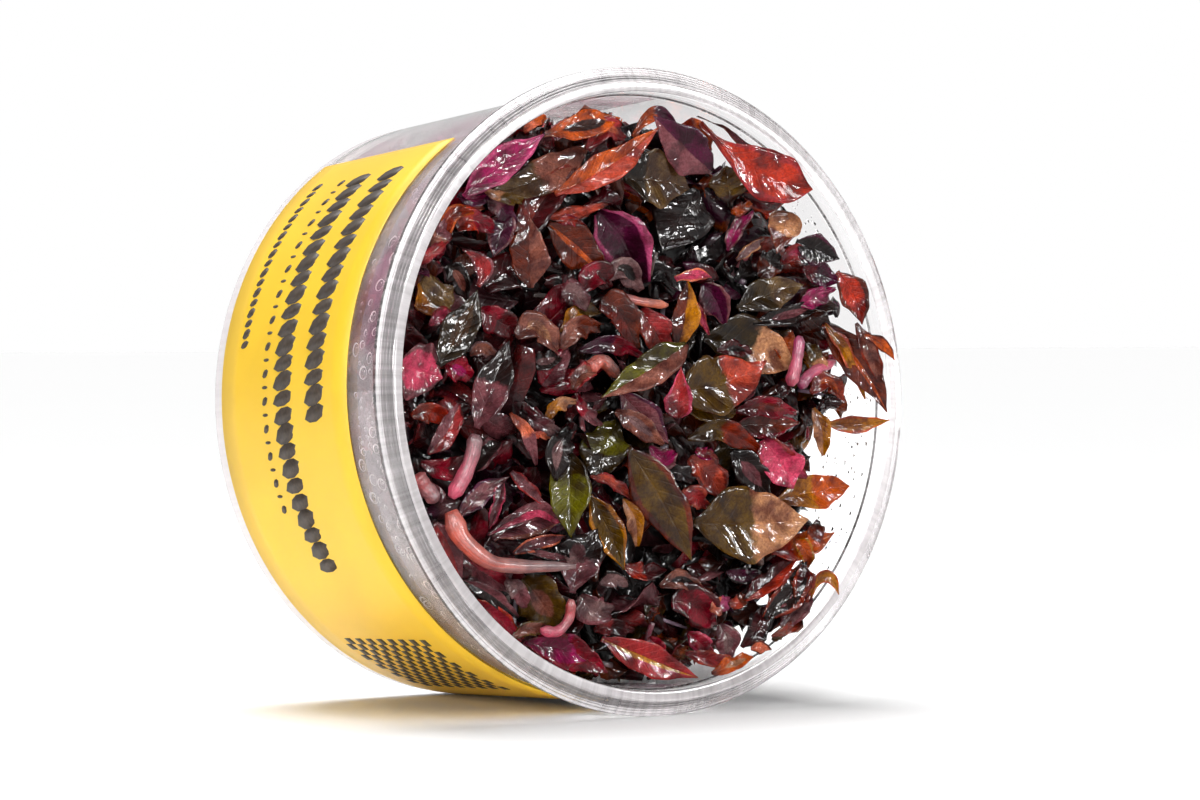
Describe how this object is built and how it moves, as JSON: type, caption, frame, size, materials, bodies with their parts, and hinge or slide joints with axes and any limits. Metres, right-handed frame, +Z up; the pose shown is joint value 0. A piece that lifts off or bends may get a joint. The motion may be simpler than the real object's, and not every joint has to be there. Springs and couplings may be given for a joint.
{
  "type": "alternanthera reineckii plants in a clear cup",
  "caption": "Clear round cup lying on its side, filled with a dense wet tangle of red and olive stem-plant leaves, with a plain yellow label.",
  "frame": {"origin": "on the floor under the middle of the whole, with the cup lying on its flange and base edge", "axes": "+Z up, +X right across the mouth, +Y from the open mouth towards the cup's base"},
  "size_m": [0.0948, 0.059, 0.0946],
  "materials": {
    "clear_plastic": "clear, smooth and glossy",
    "label_paper": "coated yellow paper, slight sheen",
    "gel": "moist, slightly cloudy",
    "leaf_amber": "wet leaf, glossy",
    "leaf_brown": "wet leaf, glossy",
    "leaf_charcoal": "wet leaf, glossy",
    "leaf_green": "wet leaf, glossy",
    "leaf_grey_olive": "wet leaf, glossy",
    "leaf_magenta": "wet leaf, glossy",
    "leaf_maroon": "wet leaf, glossy",
    "leaf_mauve": "wet leaf, glossy",
    "leaf_olive": "wet leaf, glossy",
    "leaf_pink": "wet leaf, glossy",
    "leaf_plum": "wet leaf, glossy",
    "leaf_red_orange": "wet leaf, glossy",
    "leaf_salmon": "wet leaf, glossy",
    "leaf_tan": "wet leaf, glossy",
    "leaf_yellow_olive": "wet leaf, glossy"
  },
  "bodies": {
    "root": {"cup": "clear_plastic", "label": "label_paper", "nutrient_gel": "gel", "leaf_tangle": "leaf_maroon", "leaf_amber_top": "leaf_amber", "leaf_magenta_top": "leaf_magenta", "leaf_grey_olive_top": "leaf_grey_olive", "leaf_salmon_folded": "leaf_salmon", "leaf_olive_glossy": "leaf_grey_olive", "leaf_plum_folded": "leaf_plum", "leaf_curled_arch": "leaf_amber", "leaf_red_orange_large": "leaf_red_orange", "leaf_olive_round": "leaf_olive", "leaf_charcoal_wet": "leaf_charcoal", "leaf_tan_small": "leaf_tan", "leaf_slate_right": "leaf_charcoal", "leaf_plum_right": "leaf_plum", "leaf_red_orange_right": "leaf_red_orange", "leaf_moss_dark": "leaf_olive", "leaf_olive_upright": "leaf_olive", "leaf_pink_tip": "leaf_pink", "leaf_green_left": "leaf_green", "leaf_olive_salmon_tip": "leaf_olive", "leaf_olive_tan_back": "leaf_olive", "leaf_pink_triangle": "leaf_pink", "leaf_mauve_centre": "leaf_mauve", "leaf_green_bright": "leaf_green", "leaf_green_boat": "leaf_green", "leaf_olive_long": "leaf_olive", "leaf_olive_narrow": "leaf_olive", "leaf_olive_large": "leaf_olive", "leaf_rust_pointed": "leaf_red_orange", "leaf_pink_hanging": "leaf_pink", "leaf_amber_right": "leaf_amber", "leaf_curled_strip": "leaf_yellow_olive", "leaf_brown_right": "leaf_brown", "leaf_hooked_tip": "leaf_amber", "leaf_yellow_olive_right": "leaf_yellow_olive", "leaf_red_brown_wet": "leaf_brown", "leaf_pink_left": "leaf_pink", "leaf_pink_edged": "leaf_grey_olive", "leaf_grey_spear": "leaf_mauve", "leaf_pink_twist": "leaf_pink", "leaf_olive_left": "leaf_yellow_olive", "leaf_grey_pink_upper": "leaf_mauve", "leaf_red_brown_gloss": "leaf_brown", "leaf_purple_upper": "leaf_plum", "leaf_mauve_narrow": "leaf_mauve", "leaf_mauve_broad": "leaf_mauve", "leaf_spoon_grey": "leaf_mauve", "leaf_crimson_low": "leaf_magenta", "leaf_salmon_low": "leaf_salmon", "stem_left_pink": "leaf_pink", "stem_left_wall": "leaf_salmon", "stem_left_salmon": "leaf_salmon", "stem_spoon_leaf": "leaf_pink", "stem_right_magenta": "leaf_magenta", "stem_right_branch": "leaf_magenta", "stem_centre_salmon": "leaf_salmon", "stem_upper_pink": "leaf_pink"}
  },
  "joints": []
}
